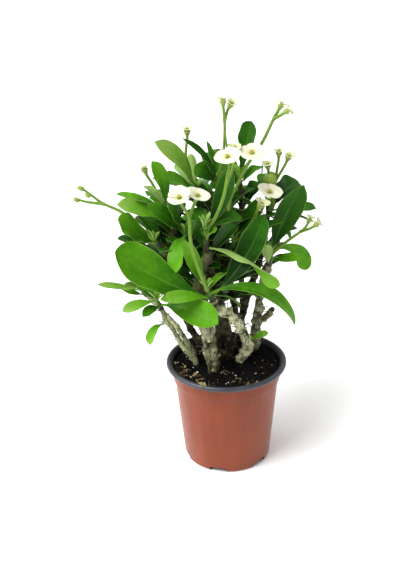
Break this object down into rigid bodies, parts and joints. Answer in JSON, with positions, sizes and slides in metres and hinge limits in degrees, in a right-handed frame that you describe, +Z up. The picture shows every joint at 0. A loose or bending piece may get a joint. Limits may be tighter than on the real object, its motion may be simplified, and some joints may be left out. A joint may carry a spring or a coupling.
{
  "type": "potted euphorbia",
  "caption": "Thorny crown-of-thorns houseplant with fleshy green leaves and cream blooms, standing in a tapered plastic nursery pot with a rolled rim.",
  "frame": {"origin": "centre of the pot's underside, on the surface that it stands on", "axes": "+Z up, +X to the viewer's right in the picture, -Y towards the viewer"},
  "size_m": [0.2348, 0.205, 0.3632],
  "materials": {
    "pot_plastic": "satin terracotta-brown polypropylene with a dark grey rolled rim",
    "compost": "moist dark peat compost with fibres and white perlite",
    "bark": "rough grey-olive bark with pale warts and spines",
    "leaf": "smooth fleshy green leaf with a soft sheen and a paler underside",
    "bract": "waxy cream bract, yellow-green towards its neck"
  },
  "bodies": {
    "root": {"pot": "pot_plastic", "soil": "compost", "stem_trunk": "bark", "stem_front": "bark", "stem_left_low": "bark", "stem_far_left": "bark", "stem_left_tall": "bark", "stem_centre": "bark", "stem_right": "bark", "stem_back_right": "bark", "stem_back": "bark", "stem_back_left": "bark", "shoot_front": "leaf", "shoot_left_low": "leaf", "shoot_far_left": "leaf", "shoot_mid_left": "leaf", "shoot_left_upper": "leaf", "shoot_left_mid": "leaf", "shoot_upper": "leaf", "shoot_top": "leaf", "shoot_middle": "leaf", "shoot_upper_right": "leaf", "shoot_right_mid": "leaf", "shoot_right": "leaf", "shoot_back_right": "leaf", "shoot_back": "leaf", "shoot_back_left": "leaf", "leaf_hanging": "leaf", "leaf_low": "leaf", "bloom_top_left": "bract", "bloom_top_right": "bract", "bloom_upper_right_a": "bract", "bloom_upper_right_b": "bract", "bloom_upper_left": "bract", "bloom_left_small": "bract", "bloom_left_a": "bract", "bloom_left_b": "bract", "bloom_middle_a": "bract", "bloom_middle_b": "bract", "bloom_centre_right": "bract", "bloom_right_pair_a": "bract", "bloom_right_pair_b": "bract", "bloom_mid_right": "bract", "bloom_side_on": "bract", "bloom_far_right_a": "bract", "bloom_far_right_b": "bract", "bloom_pod_tip": "bract", "bloom_back_a": "bract", "bloom_back_b": "bract", "bloom_back_left": "bract"}
  },
  "joints": []
}
